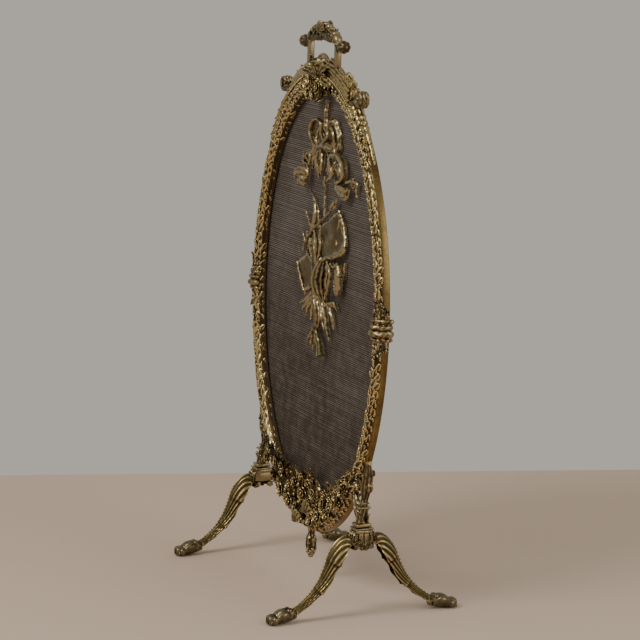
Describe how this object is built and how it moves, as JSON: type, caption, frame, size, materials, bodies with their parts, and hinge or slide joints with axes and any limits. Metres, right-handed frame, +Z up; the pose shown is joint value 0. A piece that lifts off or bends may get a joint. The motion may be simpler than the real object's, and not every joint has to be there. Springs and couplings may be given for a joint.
{
  "type": "fireplace screen",
  "caption": "Free-standing oval fireplace screen: a cast brass ring around wire cloth, with a fixed handle, relief trophy and cabriole legs ending in paws.",
  "frame": {"origin": "on the floor, under the middle of the four paws", "axes": "+Z up, X across the oval, -Y is the front with the trophy, +Y the side towards the fire"},
  "size_m": [0.541, 0.27, 0.7897],
  "materials": {
    "ring_brass": "aged gilt, worn on the high points",
    "gilt_brass": "aged gilt with dark hollows",
    "leg_brass": "olive patina, dull",
    "dark_brass": "dark patina",
    "wire_cloth": "sooty woven wire"
  },
  "bodies": {
    "root": {"arrow_shaft": "gilt_brass", "back_hoop": "dark_brass", "bagpipe": "gilt_brass", "bottom_garland": "gilt_brass", "bracket_bolt_left": "dark_brass", "bracket_bolt_right": "dark_brass", "crest": "gilt_brass", "crest_ear_left": "gilt_brass", "crest_ear_right": "gilt_brass", "crest_palmette": "gilt_brass", "flute": "gilt_brass", "handle": "gilt_brass", "handle_nut_left": "dark_brass", "handle_nut_right": "dark_brass", "handle_rosette_left": "gilt_brass", "handle_rosette_right": "gilt_brass", "handle_shell": "gilt_brass", "hoop_screw_1": "dark_brass", "hoop_screw_2": "dark_brass", "hoop_screw_3": "dark_brass", "hoop_screw_4": "dark_brass", "hoop_screw_5": "dark_brass", "hoop_screw_6": "dark_brass", "hoop_screw_7": "dark_brass", "hoop_screw_8": "dark_brass", "laurel_left": "gilt_brass", "laurel_right": "gilt_brass", "leg_back_left": "leg_brass", "leg_back_right": "leg_brass", "leg_bracket_left": "gilt_brass", "leg_bracket_right": "gilt_brass", "leg_front_left": "leg_brass", "leg_front_right": "leg_brass", "leg_plate_left": "leg_brass", "leg_plate_right": "leg_brass", "mid_clasp_left": "gilt_brass", "mid_clasp_right": "gilt_brass", "music_book": "gilt_brass", "oval_frame": "ring_brass", "pendant_finial": "gilt_brass", "ribbon_bow_left": "gilt_brass", "ribbon_bow_right": "gilt_brass", "ribbon_drop": "gilt_brass", "ribbon_knot": "gilt_brass", "ribbon_tail_left": "gilt_brass", "ribbon_tail_right": "gilt_brass", "shoulder_leaf_left": "gilt_brass", "shoulder_leaf_right": "gilt_brass", "tambourine": "gilt_brass", "torch": "gilt_brass", "trophy_rod": "dark_brass", "wire_mesh": "wire_cloth"}
  },
  "joints": []
}
